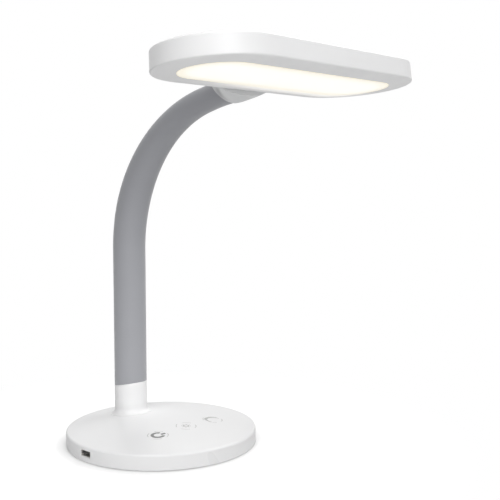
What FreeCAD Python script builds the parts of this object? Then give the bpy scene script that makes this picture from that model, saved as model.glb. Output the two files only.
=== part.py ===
import FreeCAD, Part
import math
import os
from FreeCAD import Placement, Rotation, Vector

# Desk light-therapy lamp: a weighted round base, a bendable tapered neck and a flat light head.
# All sizes are in millimetres. Z is up, the table is z = 0, the origin is the middle of the base,
# the user sits on the -Y side and the neck stands behind the middle, at +Y.

# ---------------------------------------------------------------- base housing
base_radius = 90.0          # outer radius of the round base
cover_lift = 1.0            # gap between the cover's lower edge and the table
rim_height = 14.5           # height where the side wall meets the crowned top
crown_height = 22.0         # height of the crowned top over the middle
cover_wall = 2.4            # side wall of the cover
cover_top_wall = 2.6        # thickness of the crowned top
rim_round = 2.0             # rounding between side wall and top
inner_rim_round = 1.0       # the same corner inside
seat_clearance = 0.15       # gap round each piece that drops into another

neck_edge_distance = 44.0   # neck axis in front of the base's rear edge
collar_radius = 15.7        # outside of the collar that the neck rises from
collar_bore_radius = 13.0   # inside of the collar
collar_height = 45.0        # height of the collar's upper edge on the neck axis
collar_slant = 11.0         # degrees, the collar's upper edge rises towards the user
collar_foot_round = 5.5     # hollow curve of the collar's foot
collar_edge = 0.4           # thickness of the foot's outer edge on the cover
spigot_radius = 14.3        # the collar's spigot drops into a hole in the cover

bottom_thickness = 2.4      # plate that closes the base
bottom_recess = 0.2         # the plate sits this much above the cover's lower edge
foot_ring_inset = 15.0      # outer edge of the rubber ring, inside the base's edge
foot_ring_width = 8.0
foot_groove_depth = 0.9     # how deep the ring sits in the bottom plate

ballast_side_gap = 13.6     # steel weight, from the inside of the side wall
ballast_thickness = 9.0
ballast_window_end_gap = 5.4    # the weight is cut away round the main board: free beyond its end
ballast_window_side_gap = 5.0   # and beyond its long edges
ballast_pin_radius = 2.5    # posts of the bottom plate that locate the weight
ballast_pin_ring = 30.0
ballast_pin_start = 30.0    # degrees
ballast_pin_count = 3
ballast_chamfer = 0.8
neck_hole_gap = 0.5         # round the neck's steel tube, in the weight
pin_below_top = 2.0         # the posts end this much below the weight's upper face

boss_inset = 7.1            # screw bosses, from the inside of the cover's side wall
boss_radius = 3.6
boss_count = 4
boss_start = 45.0           # degrees, direction of the first boss
screw_radius = 1.5          # self-tapping screws of the base
screw_head_radius = 2.8
screw_head_height = 1.3
screw_bite = 5.0            # thread length in the boss
screw_tip_gap = 0.5         # free depth beyond the screw's tip
screw_floor = 0.8           # plate left under a screw head
slot_width = 0.7            # screwdriver slot
slot_length = 4.0
slot_depth = 0.7

# ---------------------------------------------------------------- electronics in the base
board_thickness = 1.2
board_standoff = 0.6        # main board above the bottom plate
main_board_length = 34.0    # along X, from the side wall inwards
main_board_width = 44.0
part_gap = 2.0              # between the parts on the main board
inductor_size = 7.0
inductor_height = 4.0
inductor_y = 19.0           # its far side from the middle of the board
capacitor_radius = 3.2
capacitor_height = 5.5
capacitor_y = 14.0
controller_size = 6.0
connector_size = 6.0
connector_height = 3.5
port_side_gap = 1.2         # board edge from the inside of the side wall
board_post_radius = 3.0     # posts of the bottom plate that carry the main board
board_post_x = (12.0, 30.0)     # their distances from the inside of the side wall
board_post_edge = 5.0       # and from the board's long edges
board_hole_radius = 1.6     # locating hole at the inner end of the board
board_hole_edge = 4.0
port_setback = 0.6          # the port's mouth behind the outside of the side wall
tongue_setback = 1.2        # the tongue's tip behind the port's mouth
usb_width = 13.2            # shell of the charging port
usb_height = 5.8
usb_depth = 14.0
usb_sheet = 0.4             # sheet thickness of that shell
usb_tongue_width = 11.0
usb_tongue_thickness = 1.9
port_clearance = 0.25       # between a port and its cut-out in the side wall
inlet_width = 9.0           # barrel-jack inlet at the back
inlet_height = 8.2
inlet_depth = 13.0
inlet_bore_radius = 3.15
inlet_pin_radius = 1.0
inlet_bore_depth = 9.5
inlet_mouth_radius = 4.0    # round opening in the side wall
inlet_setback = 0.8         # the mouth behind the outside of the side wall
inlet_pin_setback = 2.5     # and the pin's tip

touch_row_y = -34.0         # row of the three touch keys, in front of the neck
touch_pad_radius = 6.0
touch_board_end = 5.0       # board beyond its end screws
touch_board_width = 17.0
touch_board_thickness = 1.0
touch_board_drop = 0.5      # board under the crown where its screws are
touch_board_gap = 0.3       # and at its corners
touch_boss_radius = 3.2
touch_boss_edge = 39.0      # the board's end screws inside the base's edge, along X
touch_key_inset = 16.3      # outer keys inside the end screws
touch_screw_bite = 0.6      # length of its screws in the bosses
touch_screw_head_height = 0.8

# ---------------------------------------------------------------- neck
bend_start_height = 182.0   # the neck is straight up to here
bend_radius = 142.0         # then it bends forward on this radius
bend_angle = 76.0           # degrees from upright at the end of the bend
core_radius = 7.5           # flexible steel tube in the neck
core_bore_radius = 5.6      # passage for the lamp's wires
core_foot_height = 5.0      # the tube ends this far above the table
core_fit = 0.05             # between the tube and what holds it
sleeve_fit = 0.15           # between the tube and the soft sleeve
sleeve_foot_radius = 15.75  # soft sleeve, thick up to where its taper starts
sleeve_head_radius = 11.0   # and slim at the head
taper_start = 165.0         # distance along the neck from the collar
taper_length = 195.0
mouth_length = 19.0         # at the head the sleeve opens again over this length
mouth_flare = 1.3           # by this much all round
sleeve_foot_depth = 8.0     # the sleeve bar is drawn from this far below the collar's edge
joint_count = 9             # bending places along the neck
first_joint = 30.0          # distance of the first one from the collar
last_joint_gap = 31.7       # distance from the last one to the seam at the head
seat_margin = 2.2           # ball seat radius beyond the sleeve radius
seat_gap = 0.3              # gap between a ball seat and its cup
section_spacing = 12.0      # longest distance between the cross-sections of a bent length

anchor_flange_radius = 18.0     # steel anchor that bolts the neck to the weight
anchor_flange_thickness = 2.2
anchor_tube_radius = 11.5
anchor_tube_height = 23.0
anchor_screw_ring = 14.6
anchor_screw_radius = 1.6
anchor_screw_head = 3.0
anchor_screw_length = 9.0   # from the flange's lower face down
anchor_screw_count = 3
anchor_screw_start = 30.0   # degrees
anchor_sink_depth = 1.4     # countersink of those screws

# ---------------------------------------------------------------- head
head_reach = 206.4          # middle of the head's lower rim, in front of the neck's foot
head_z = 331.2
head_tilt = -5.56           # degrees about X, the edge near the user is higher
head_length = 266.0
head_width = 105.2
head_height = 15.4          # side wall of the head
head_draft = 0.6            # the top is this much smaller all round
head_wall = 2.0
head_top_wall = 2.0
head_top_round = 1.6
frame_crown = 2.3           # the front frame's face swells this much below the rim
frame_lip_round = 1.2       # rounding at the frame's outer edge
frame_fullness = 0.8        # share of the swell that is reached half-way across the face
frame_plate = 1.6           # thickness of the frame behind the rim plane
frame_reach = 27.0          # how far the frame reaches inwards from the rim
frame_end_width = 19.0      # visible frame at the ends of the lit window
frame_side_width = 21.0     # and along its long sides
diffuser_thickness = 2.0
diffuser_lap = 3.0          # the diffuser's flange behind the frame
hook_count = 4              # snap hooks along each long side
hook_width = 8.0
hook_height = 6.0
hook_thickness = 1.2
led_board_thickness = 1.6
led_board_drop = 2.4        # LED board below the inside of the top
led_columns = 16
led_rows = 4
led_length = 3.5
led_width = 2.8
led_height = 0.7
led_edge = 12.0             # window length at its ends that the LED pattern leaves free
reflector_sheet = 0.8
reflector_flare = 5.0       # the reflector's wall leans out this much at the board
stud_radius = 2.6           # studs that carry the LED board
stud_columns = 3
stud_led_steps = 7          # LED columns from stud to stud
stud_row_y = 21.0
stud_hole_floor = 0.2       # left between the screw holes and the ceiling
head_screw_radius = 1.2
head_screw_head = 2.3
head_screw_head_height = 1.2

# ---------------------------------------------------------------- coupler between neck and head
seam_reach = 131.3          # where the sleeve ends, in front of the neck's foot
seam_lean = 55.0            # degrees, lean of that seam from upright
core_past_seam = 13.0       # the neck's steel tube ends this far beyond the seam
coupler_round_length = 2.0  # the coupler stays round up to this far beyond the seam
coupler_waist_distance = 6.3    # section part way out to the head, measured from its rear wall
coupler_waist_drop = 4.6        # it hangs this far under the middle of that wall
coupler_waist_half_width = 28.4
coupler_waist_half_height = 10.9
coupler_end_drop = 3.0      # the same where it meets the head
coupler_half_width = 34.2
coupler_half_height = 9.9
coupler_bush_radius = 8.9   # steel bush that holds the tube's upper end
coupler_bush_length = 16.0
tenon_width = 30.0          # tongue of the coupler that enters the head
tenon_height = 8.0
tenon_length = 9.0
lead_hole_radius = 3.0      # passage for the wires through the coupler
clamp_plate_width = 42.0    # plate inside the head that the coupler is screwed to
clamp_plate_height = 9.0
clamp_plate_thickness = 2.0
clamp_screw_x = 18.0
clamp_gap = 0.6             # the plate lies this far inside the rear wall
clamp_screw_bite = 3.5      # thread length in the coupler

cut_margin = 1.0            # cutters overshoot the faces they cut through
X_AXIS = Vector(1, 0, 0)
Z_AXIS = Vector(0, 0, 1)
PARTS = {}


def keep(name, shape):
    """File a finished piece under its node name."""
    PARTS[name] = shape


def box(x0, x1, y0, y1, z0, z1):
    return Part.makeBox(x1 - x0, y1 - y0, z1 - z0, Vector(x0, y0, z0))


def post(x, y, z0, z1, radius):
    return Part.makeCylinder(radius, z1 - z0, Vector(x, y, z0))


def face_of(edges):
    return Part.Face(Part.Wire(edges))


def line(a, b):
    return Part.LineSegment(a, b).toShape()


def polygon(points):
    """Flat face through (radius, height) points, drawn in the XZ plane."""
    corners = [Vector(r, 0, z) for r, z in points]
    return Part.Face(Part.makePolygon(corners + corners[:1]))


def around(count, ring_radius, start=0.0, centre=(0.0, 0.0)):
    """Places evenly spaced on a circle."""
    for i in range(count):
        angle = math.radians(start + 360.0 * i / count)
        yield centre[0] + ring_radius * math.cos(angle), centre[1] + ring_radius * math.sin(angle)


# ================================================================ base
crown_rise = crown_height - rim_height
crown_radius = (base_radius ** 2 + crown_rise ** 2) / (2 * crown_rise)
crown_centre = Vector(0, 0, crown_height - crown_radius)
bottom_z = cover_lift + bottom_recess
bottom_top = bottom_z + bottom_thickness
inner_radius = base_radius - cover_wall
neck_setback = base_radius - neck_edge_distance
foot_ring_radius = base_radius - foot_ring_inset
boss_ring_radius = inner_radius - boss_inset
ballast_radius = inner_radius - ballast_side_gap
ballast_top = bottom_top + ballast_thickness
flange_top = ballast_top + anchor_flange_thickness
main_board_z = bottom_top + board_standoff
main_board_x = port_side_gap - inner_radius
main_board_end = main_board_x + main_board_length
port_floor = main_board_z + board_thickness
port_mouth_x = port_setback - base_radius
port_z = port_floor + usb_height / 2
inlet_z = bottom_top + inlet_height / 2
neck_foot = (0, neck_setback)
touch_boss_x = base_radius - touch_boss_edge
touch_pitch = touch_boss_x - touch_key_inset


def crown_z(radius, drop=0.0):
    """Height of the crowned top, or of a surface the given depth under it, at a distance from the middle."""
    return crown_centre.z + math.sqrt((crown_radius - drop) ** 2 - radius ** 2)


def crown_reach(z, drop):
    """Distance from the middle at which the surface a depth of drop under the crown is down at height z."""
    return math.sqrt((crown_radius - drop) ** 2 - (z - crown_centre.z) ** 2)


touch_board_top = crown_z(math.hypot(touch_boss_x, touch_row_y), cover_top_wall) - touch_board_drop


def crowned_disc(radius, z0, drop, edge_round):
    """Disc whose upper face lies a depth of drop under the crown, rounded where it meets the side."""
    middle = Vector(radius - edge_round, 0, crown_z(radius - edge_round, drop + edge_round))
    outwards = (middle - crown_centre).normalize()
    between = (outwards + X_AXIS).normalize()
    side_top = middle + X_AXIS * edge_round
    crown_edge = middle + outwards * edge_round
    crown_mid = Vector(radius / 2, 0, crown_z(radius / 2, drop))
    crown_top = Vector(0, 0, crown_z(0, drop))
    foot = Vector(0, 0, z0)
    corner = Vector(radius, 0, z0)
    edges = [line(foot, corner), line(corner, side_top),
             Part.Arc(side_top, middle + between * edge_round, crown_edge).toShape(),
             Part.Arc(crown_edge, crown_mid, crown_top).toShape(), line(crown_top, foot)]
    return face_of(edges).revolve(Vector(), Z_AXIS, 360)


def cover_form():
    """Outer form of the cover, without its hollow."""
    return crowned_disc(base_radius, cover_lift, 0.0, rim_round)


def boss_places():
    return around(boss_count, boss_ring_radius, boss_start)


def ballast_pin_places():
    return around(ballast_pin_count, ballast_pin_ring, ballast_pin_start)


def anchor_screw_places():
    return around(anchor_screw_count, anchor_screw_ring, anchor_screw_start, neck_foot)


def above_collar():
    """Half space over the collar's slanted upper edge."""
    size = 4 * collar_radius
    block = box(-size, size, -size, size, 0, 2 * size)
    block.Placement = Placement(Vector(0, neck_setback, collar_height), Rotation(X_AXIS, -collar_slant))
    return block


def usb_block(grow, x0, x1):
    """Space of the charging port, widened by grow, between two distances along X."""
    half_w = usb_width / 2 + grow
    half_h = usb_height / 2 + grow
    return box(x0, x1, -half_w, half_w, port_z - half_h, port_z + half_h)


def inlet_cylinder(radius, y0, y1):
    return Part.makeCylinder(radius, y1 - y0, Vector(0, y0, inlet_z), Vector(0, 1, 0))


def make_cover():
    """Crowned cover with screw bosses inside and openings for the neck, the charging port and the inlet."""
    hollow = crowned_disc(inner_radius, cover_lift - cut_margin, cover_top_wall, inner_rim_round)
    body = cover_form().cut(hollow)
    for x, y in boss_places():
        body = body.fuse(post(x, y, bottom_top, crown_z(boss_ring_radius, cover_top_wall / 2), boss_radius))
    for x in (-touch_boss_x, touch_boss_x):
        reach = crown_z(math.hypot(x, touch_row_y), cover_top_wall / 2)
        body = body.fuse(post(x, touch_row_y, touch_board_top, reach, touch_boss_radius))
    holes = [post(x, y, bottom_top - cut_margin, bottom_top + screw_bite, screw_radius)
             for x, y in boss_places()]
    for x in (-touch_boss_x, touch_boss_x):
        holes.append(post(x, touch_row_y, touch_board_top - cut_margin, touch_board_top + touch_screw_bite,
                          head_screw_radius))
    holes.append(post(*neck_foot, cover_lift, collar_height, spigot_radius + seat_clearance))
    holes.append(usb_block(port_clearance, -base_radius - cut_margin, cut_margin - inner_radius))
    holes.append(inlet_cylinder(inlet_mouth_radius, inner_radius - cut_margin, base_radius + cut_margin))
    return body.cut(holes).removeSplitter()


def make_collar():
    """Collar round the neck: its hollow-curved foot lies on the crown, its spigot drops through the cover."""
    top = collar_height + collar_radius
    raised = crowned_disc(base_radius, cover_lift, -collar_edge, rim_round)
    tube = post(*neck_foot, cover_lift, top, collar_radius).cut(above_collar())
    body = raised.fuse(tube).removeSplitter()
    collar_rings = [e for e in body.Edges if abs(e.BoundBox.XLength - 2 * collar_radius) < 0.1]
    foot = min(collar_rings, key=lambda e: abs(e.BoundBox.ZMin - crown_z(neck_setback + collar_radius)))
    body = body.makeFillet(collar_foot_round, [foot])
    skirt = post(*neck_foot, cover_lift, top, collar_radius + collar_foot_round - collar_edge)
    body = body.common(skirt).cut(cover_form())
    body = body.fuse(post(*neck_foot, flange_top + seat_clearance, crown_height, spigot_radius))
    return body.cut(post(*neck_foot, cover_lift, top, collar_bore_radius)).removeSplitter()


def make_bottom():
    """Plate that closes the base, with the groove for the rubber ring, screw holes and posts."""
    plate = post(0, 0, bottom_z, bottom_top, inner_radius - seat_clearance)
    groove = post(0, 0, bottom_z - cut_margin, bottom_z + foot_groove_depth, foot_ring_radius)
    plate = plate.cut(groove.cut(post(0, 0, 0, bottom_top, foot_ring_radius - foot_ring_width)))
    root = (bottom_z + bottom_top) / 2
    for x, y in ballast_pin_places():
        plate = plate.fuse(post(x, y, root, ballast_top - pin_below_top, ballast_pin_radius))
    for y in (board_post_edge - main_board_width / 2, main_board_width / 2 - board_post_edge):
        for inset in board_post_x:
            plate = plate.fuse(post(inset - inner_radius, y, root, main_board_z, board_post_radius))
    for x, y in boss_places():
        plate = plate.cut(post(x, y, bottom_z, bottom_top, screw_radius + seat_clearance))
        plate = plate.cut(post(x, y, bottom_z - cut_margin, bottom_top - screw_floor,
                               screw_head_radius + seat_clearance))
    return plate.removeSplitter()


def make_foot_ring():
    outer = post(0, 0, 0, bottom_z + foot_groove_depth, foot_ring_radius - seat_clearance)
    inner_r = foot_ring_radius - foot_ring_width + seat_clearance
    return outer.cut(post(0, 0, -cut_margin, bottom_top, inner_r))


def make_base_screws():
    screws = []
    head_top = bottom_top - screw_floor
    under = head_top - screw_head_height
    for x, y in boss_places():
        head = post(x, y, under, head_top, screw_head_radius)
        shank = post(x, y, under, bottom_top + screw_bite - screw_tip_gap, screw_radius)
        slot = box(x - slot_length / 2, x + slot_length / 2, y - slot_width / 2, y + slot_width / 2,
                   under - cut_margin, under + slot_depth)
        screws.append(head.fuse(shank).cut(slot).removeSplitter())
    return Part.makeCompound(screws)


def make_ballast():
    """Steel weight, with a window for the main board and holes for the neck and its anchor screws."""
    disc = post(0, 0, bottom_top, ballast_top, ballast_radius)
    disc = disc.makeChamfer(ballast_chamfer, [e for e in disc.Edges if len(e.Vertexes) == 1])
    window_half = main_board_width / 2 + ballast_window_side_gap
    window_end = main_board_end + ballast_window_end_gap
    holes = [box(-base_radius, window_end, -window_half, window_half, 0, crown_height),
             post(*neck_foot, 0, crown_height, core_radius + neck_hole_gap)]
    for x, y in ballast_pin_places():
        holes.append(post(x, y, 0, crown_height, ballast_pin_radius + seat_clearance))
    for x, y in anchor_screw_places():
        holes.append(post(x, y, ballast_top - anchor_screw_length - screw_tip_gap, crown_height,
                          anchor_screw_radius))
    return disc.cut(holes).removeSplitter()


def make_main_board():
    """Main board, whose outer end follows the inside of the side wall."""
    half = main_board_width / 2
    board = box(main_board_x, main_board_end, -half, half, main_board_z, port_floor)
    board = board.common(post(0, 0, 0, crown_height, -main_board_x))
    return board.cut(post(main_board_end - board_hole_edge, 0, 0, crown_height, board_hole_radius))


def make_board_parts():
    """Inductor, capacitor, controller and wire connector on the main board, behind the charging port."""
    row = port_mouth_x + usb_depth + part_gap
    inductor = box(row, row + inductor_size, -inductor_y, inductor_size - inductor_y,
                   port_floor, port_floor + inductor_height)
    capacitor = post(row + capacitor_radius, capacitor_y, port_floor, port_floor + capacitor_height,
                     capacitor_radius)
    controller = box(row, row + controller_size, 0, controller_size, port_floor, port_floor + board_thickness)
    row += inductor_size + part_gap
    connector = box(row, row + connector_size, -inductor_y, connector_size - inductor_y,
                    port_floor, port_floor + connector_height)
    return Part.makeCompound([inductor, capacitor, controller, connector])


def make_usb():
    """Folded steel shell of the charging port, and the contact tongue inside it."""
    back = port_mouth_x + usb_depth
    shell = usb_block(0.0, port_mouth_x, back)
    shell = shell.cut(usb_block(-usb_sheet, port_mouth_x - cut_margin, back - usb_sheet))
    half = usb_tongue_width / 2
    tongue = box(port_mouth_x + tongue_setback, back - usb_sheet, -half, half,
                 port_z, port_z + usb_tongue_thickness)
    return shell, tongue


def make_inlet():
    """Barrel-jack inlet behind the round opening at the back, and its centre pin."""
    half = inlet_width / 2
    front = math.sqrt(inner_radius ** 2 - half ** 2) - seat_clearance
    bore_end = base_radius - inlet_bore_depth
    body = box(-half, half, front - inlet_depth, front, bottom_top, bottom_top + inlet_height)
    mouth_end = base_radius - inlet_setback
    mouth = inlet_cylinder(inlet_mouth_radius - seat_clearance, front - cut_margin, mouth_end)
    body = body.fuse(mouth).cut(inlet_cylinder(inlet_bore_radius, bore_end, base_radius))
    pin = inlet_cylinder(inlet_pin_radius, bore_end, base_radius - inlet_pin_setback)
    return body.removeSplitter(), pin


def make_touch_board():
    """Touch board under the crown, its corners cut back where the crown comes down to it."""
    half_l = touch_boss_x + touch_board_end
    half_w = touch_board_width / 2
    board = box(-half_l, half_l, touch_row_y - half_w, touch_row_y + half_w,
                touch_board_top - touch_board_thickness, touch_board_top)
    reach = crown_reach(touch_board_top, cover_top_wall + touch_board_gap)
    board = board.common(post(0, 0, 0, crown_height, reach))
    for x in (-touch_boss_x, touch_boss_x):
        board = board.cut(post(x, touch_row_y, 0, crown_height, head_screw_radius + seat_clearance))
    return board


def make_touch_pads():
    """Conductive pads that press against the underside of the crown, one under each touch key."""
    under = crowned_disc(inner_radius, touch_board_top, cover_top_wall, inner_rim_round)
    pads = []
    for i in (-1, 0, 1):
        pad = post(i * touch_pitch, touch_row_y, touch_board_top, crown_height, touch_pad_radius)
        pads.append(pad.common(under))
    return Part.makeCompound(pads)


def make_touch_screws():
    screws = []
    under = touch_board_top - touch_board_thickness
    for x in (-touch_boss_x, touch_boss_x):
        head = post(x, touch_row_y, under - touch_screw_head_height, under, head_screw_head)
        shank = post(x, touch_row_y, under, touch_board_top + touch_screw_bite, head_screw_radius)
        screws.append(head.fuse(shank).removeSplitter())
    return Part.makeCompound(screws)


def anchor_countersink(x, y, grow=0.0):
    return Part.makeCone(anchor_screw_radius + grow, anchor_screw_head + grow, anchor_sink_depth,
                         Vector(x, y, flange_top - anchor_sink_depth))


def make_anchor():
    """Flanged steel bush that clamps the lower end of the neck to the weight."""
    flange = post(*neck_foot, ballast_top, flange_top, anchor_flange_radius)
    tube = post(*neck_foot, ballast_top, ballast_top + anchor_tube_height, anchor_tube_radius)
    bush = flange.fuse(tube).cut(post(*neck_foot, 0, 2 * collar_height, core_radius + core_fit))
    for x, y in anchor_screw_places():
        bush = bush.cut(post(x, y, 0, flange_top, anchor_screw_radius + seat_clearance / 2))
        bush = bush.cut(anchor_countersink(x, y, seat_clearance / 2))
    return bush.removeSplitter()


def make_anchor_screws():
    screws = []
    neck = flange_top - anchor_sink_depth
    for x, y in anchor_screw_places():
        shank = post(x, y, ballast_top - anchor_screw_length, neck, anchor_screw_radius)
        screws.append(anchor_countersink(x, y).fuse(shank).removeSplitter())
    return Part.makeCompound(screws)


# ================================================================ neck
straight_length = bend_start_height - collar_height
bend_length = bend_radius * math.radians(bend_angle)
bend_end = straight_length + bend_length
last_joint = joint_count - 1


def neck_point(s):
    """Point of the neck's centre line at distance s from the collar, and its angle from upright."""
    if s <= straight_length:
        return Vector(0, neck_setback, collar_height + s), 0.0
    angle = min((s - straight_length) / bend_radius, math.radians(bend_angle))
    y = neck_setback - bend_radius * (1 - math.cos(angle))
    z = bend_start_height + bend_radius * math.sin(angle)
    beyond = max(0.0, s - bend_end)
    return Vector(0, y - beyond * math.sin(angle), z + beyond * math.cos(angle)), math.degrees(angle)


def neck_place(s):
    """Placement whose Z runs along the neck at distance s."""
    point, angle = neck_point(s)
    return Placement(point, Rotation(X_AXIS, angle))


def sleeve_radius(s):
    """Radius of the sleeve at distance s: thick, then a smooth taper to the slim upper end, which opens
    a little where it is pulled over the coupler."""
    t = min(max((s - taper_start) / taper_length, 0.0), 1.0)
    mouth = min(max(1 - (seam_s - s) / mouth_length, 0.0), 1.0)
    taper = (sleeve_foot_radius - sleeve_head_radius) * t * t * (3 - 2 * t)
    return sleeve_foot_radius - taper + mouth_flare * mouth ** 2


def sections_between(s0, s1):
    """Distances of the cross-sections from s0 to s1: only where the neck bends or tapers."""
    turns = (straight_length, bend_end, seam_s - mouth_length, seam_s)
    inner = [s for s in turns if s0 + cut_margin < s < s1 - cut_margin]
    stops = [s0] + inner + [s1]
    sections = [s0]
    for low, high in zip(stops, stops[1:]):
        plain = high <= straight_length + cut_margin
        count = 1 if plain else math.ceil((high - low) / section_spacing)
        sections += [low + (high - low) * (i + 1) / count for i in range(count)]
    return sections


def neck_tube(s0, s1, radius_at):
    """Solid round bar along the neck from s0 to s1, whose radius is a function of the distance."""
    rings = []
    for s in sections_between(s0, s1):
        ring = Part.Wire([Part.Circle(Vector(), Z_AXIS, radius_at(s)).toShape()])
        ring.Placement = neck_place(s)
        rings.append(ring)
    return Part.makeLoft(rings, True, True)


def joint_s(i):
    """Distance of bending place i from the collar: they are evenly spaced up to the seam at the head."""
    return first_joint + (seam_s - first_joint - last_joint_gap) * i / last_joint


def seat_radius(i):
    return sleeve_radius(joint_s(i)) + seat_margin


def ball(i, gap=0.0):
    point, angle = neck_point(joint_s(i))
    return Part.makeSphere(seat_radius(i) + gap, point)


def beyond_ball(i):
    """Everything past bending place i that isn't inside its ball seat."""
    reach = seat_radius(i)
    drum = Part.makeCylinder(2 * reach, 2 * reach)
    drum.Placement = neck_place(joint_s(i))
    return drum.cut(ball(i))


def below_seam():
    """Half space on the sleeve's side of the slanted seam near the head."""
    size = 6 * collar_radius
    block = box(-size, size, -size, size, -2 * size, 0)
    block.Placement = Placement(neck_point(seam_s)[0], Rotation(X_AXIS, seam_lean))
    return block


def make_link(i, bar_from):
    """Length i of a bar of the neck: cupped on the ball seat below it, with a ball seat at its top."""
    bar = bar_from(joint_s(i - 1), joint_s(i) + seat_radius(i))
    return bar.cut(ball(i - 1, seat_gap)).cut(beyond_ball(i))


def sleeve_bar(s0, s1):
    bore = neck_tube(s0 - cut_margin, s1 + cut_margin, lambda s: core_radius + sleeve_fit)
    return neck_tube(s0, s1, sleeve_radius).cut(bore)


def core_bar(s0, s1):
    bore = neck_tube(s0 - cut_margin, s1 + cut_margin, lambda s: core_bore_radius)
    return neck_tube(s0, s1, lambda s: core_radius).cut(bore)


def make_neck():
    """Sleeve and steel tube, each cut into lengths by concentric ball seats at the bending places."""
    top = joint_s(0) + seat_radius(0)
    lowest = sleeve_bar(-sleeve_foot_depth, top).common(above_collar()).cut(beyond_ball(0))
    keep("neck_sleeve_0", lowest)
    keep("neck_core_0", core_bar(core_foot_height - collar_height, top).cut(beyond_ball(0)))
    for i in range(1, joint_count):
        keep("neck_sleeve_%d" % i, make_link(i, sleeve_bar))
        keep("neck_core_%d" % i, make_link(i, core_bar))
    seat = ball(last_joint, seat_gap)
    upper = sleeve_bar(joint_s(last_joint), seam_s + 2 * collar_radius).cut(seat)
    keep("neck_sleeve_%d" % joint_count, upper.common(below_seam()))
    keep("neck_core_%d" % joint_count, core_bar(joint_s(last_joint), core_end_s).cut(seat))


# ================================================================ head
head_place = Placement(Vector(0, neck_setback - head_reach, head_z), Rotation(X_AXIS, head_tilt))
window_length = head_length - 2 * frame_end_width
window_width = head_width - 2 * frame_side_width
led_pitch_x = (window_length - led_edge) / led_columns
led_pitch_y = window_width / led_rows
rim_radius = head_width / 2
rim_run = (head_length - head_width) / 2
inside_radius = rim_radius - head_wall
ceiling = head_height - head_top_wall
led_board_z = ceiling - led_board_drop - led_board_thickness
tenon_z = head_height / 2
diffuser_back = frame_plate
diffuser_seat = frame_plate - diffuser_thickness
seam_y = neck_setback - seam_reach
seam_s = bend_end + (neck_point(bend_end)[0].y - seam_y) / math.sin(math.radians(bend_angle))
core_end_s = seam_s + core_past_seam
clamp_face_y = inside_radius - head_draft * tenon_z / head_height - clamp_gap


def stadium(profile, run):
    """Solid with straight long sides and half-round ends: a profile of radius and height that is
    revolved round both ends and drawn out between them."""
    whole = None
    for turn in (0, 180):
        end = profile.revolve(Vector(), Z_AXIS, 180)
        end.Placement = Placement(Vector(run if turn == 0 else -run, 0, 0), Rotation(Z_AXIS, turn - 90))
        side_profile = profile.copy()
        side_profile.Placement = Placement(Vector(-run, 0, 0), Rotation(Z_AXIS, turn + 90))
        side = side_profile.extrude(X_AXIS * 2 * run)
        whole = end.fuse(side) if whole is None else whole.fuse([end, side])
    return whole.removeSplitter()


def stadium_plate(length, width, z0, z1):
    radius = width / 2
    return stadium(polygon([(0, z0), (radius, z0), (radius, z1), (0, z1)]), (length - width) / 2)


def draft_at(z):
    return head_draft * z / head_height


def head_outline():
    """Outer form of the head above the rim plane, drafted, with a rounded upper edge."""
    top = rim_radius - head_draft
    body = stadium(polygon([(0, 0), (rim_radius, 0), (top, head_height), (0, head_height)]), rim_run)
    upper = [e for e in body.Edges if e.BoundBox.ZMin > head_height - 0.01
             and max(abs(v.Point.y) for v in e.Vertexes) > top - 0.01]
    return body.makeFillet(head_top_round, upper)


def stud_places():
    for i in range(stud_columns):
        x = (i - (stud_columns - 1) / 2) * stud_led_steps * led_pitch_x
        for y in (-stud_row_y, stud_row_y):
            yield x, y


def tenon_block(grow, y0, y1):
    """Space of the coupler's tongue, widened by grow, between two distances from the head's middle."""
    half_w = tenon_width / 2 + grow
    half_h = tenon_height / 2 + grow
    return box(-half_w, half_w, y0, y1, tenon_z - half_h, tenon_z + half_h)


def clamp_bores(radius, y0, y1):
    """Cylinders along the two screws that hold the coupler."""
    return [Part.makeCylinder(radius, y1 - y0, Vector(x, y0, tenon_z), Vector(0, 1, 0))
            for x in (-clamp_screw_x, clamp_screw_x)]


def make_head_shell():
    hollow = polygon([(0, -cut_margin), (inside_radius, -cut_margin), (inside_radius, 0),
                      (inside_radius - draft_at(ceiling), ceiling), (0, ceiling)])
    shell = head_outline().cut(stadium(hollow, rim_run))
    root = ceiling + head_top_wall / 2
    for x, y in stud_places():
        shell = shell.fuse(post(x, y, led_board_z + led_board_thickness, root, stud_radius))
    holes = [post(x, y, led_board_z, ceiling - stud_hole_floor, head_screw_radius) for x, y in stud_places()]
    through = inside_radius - 2 * head_wall
    holes.append(tenon_block(seat_clearance, through, rim_radius + cut_margin))
    holes += clamp_bores(head_screw_radius + seat_clearance, through, rim_radius + cut_margin)
    return shell.cut(holes).removeSplitter()


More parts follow.
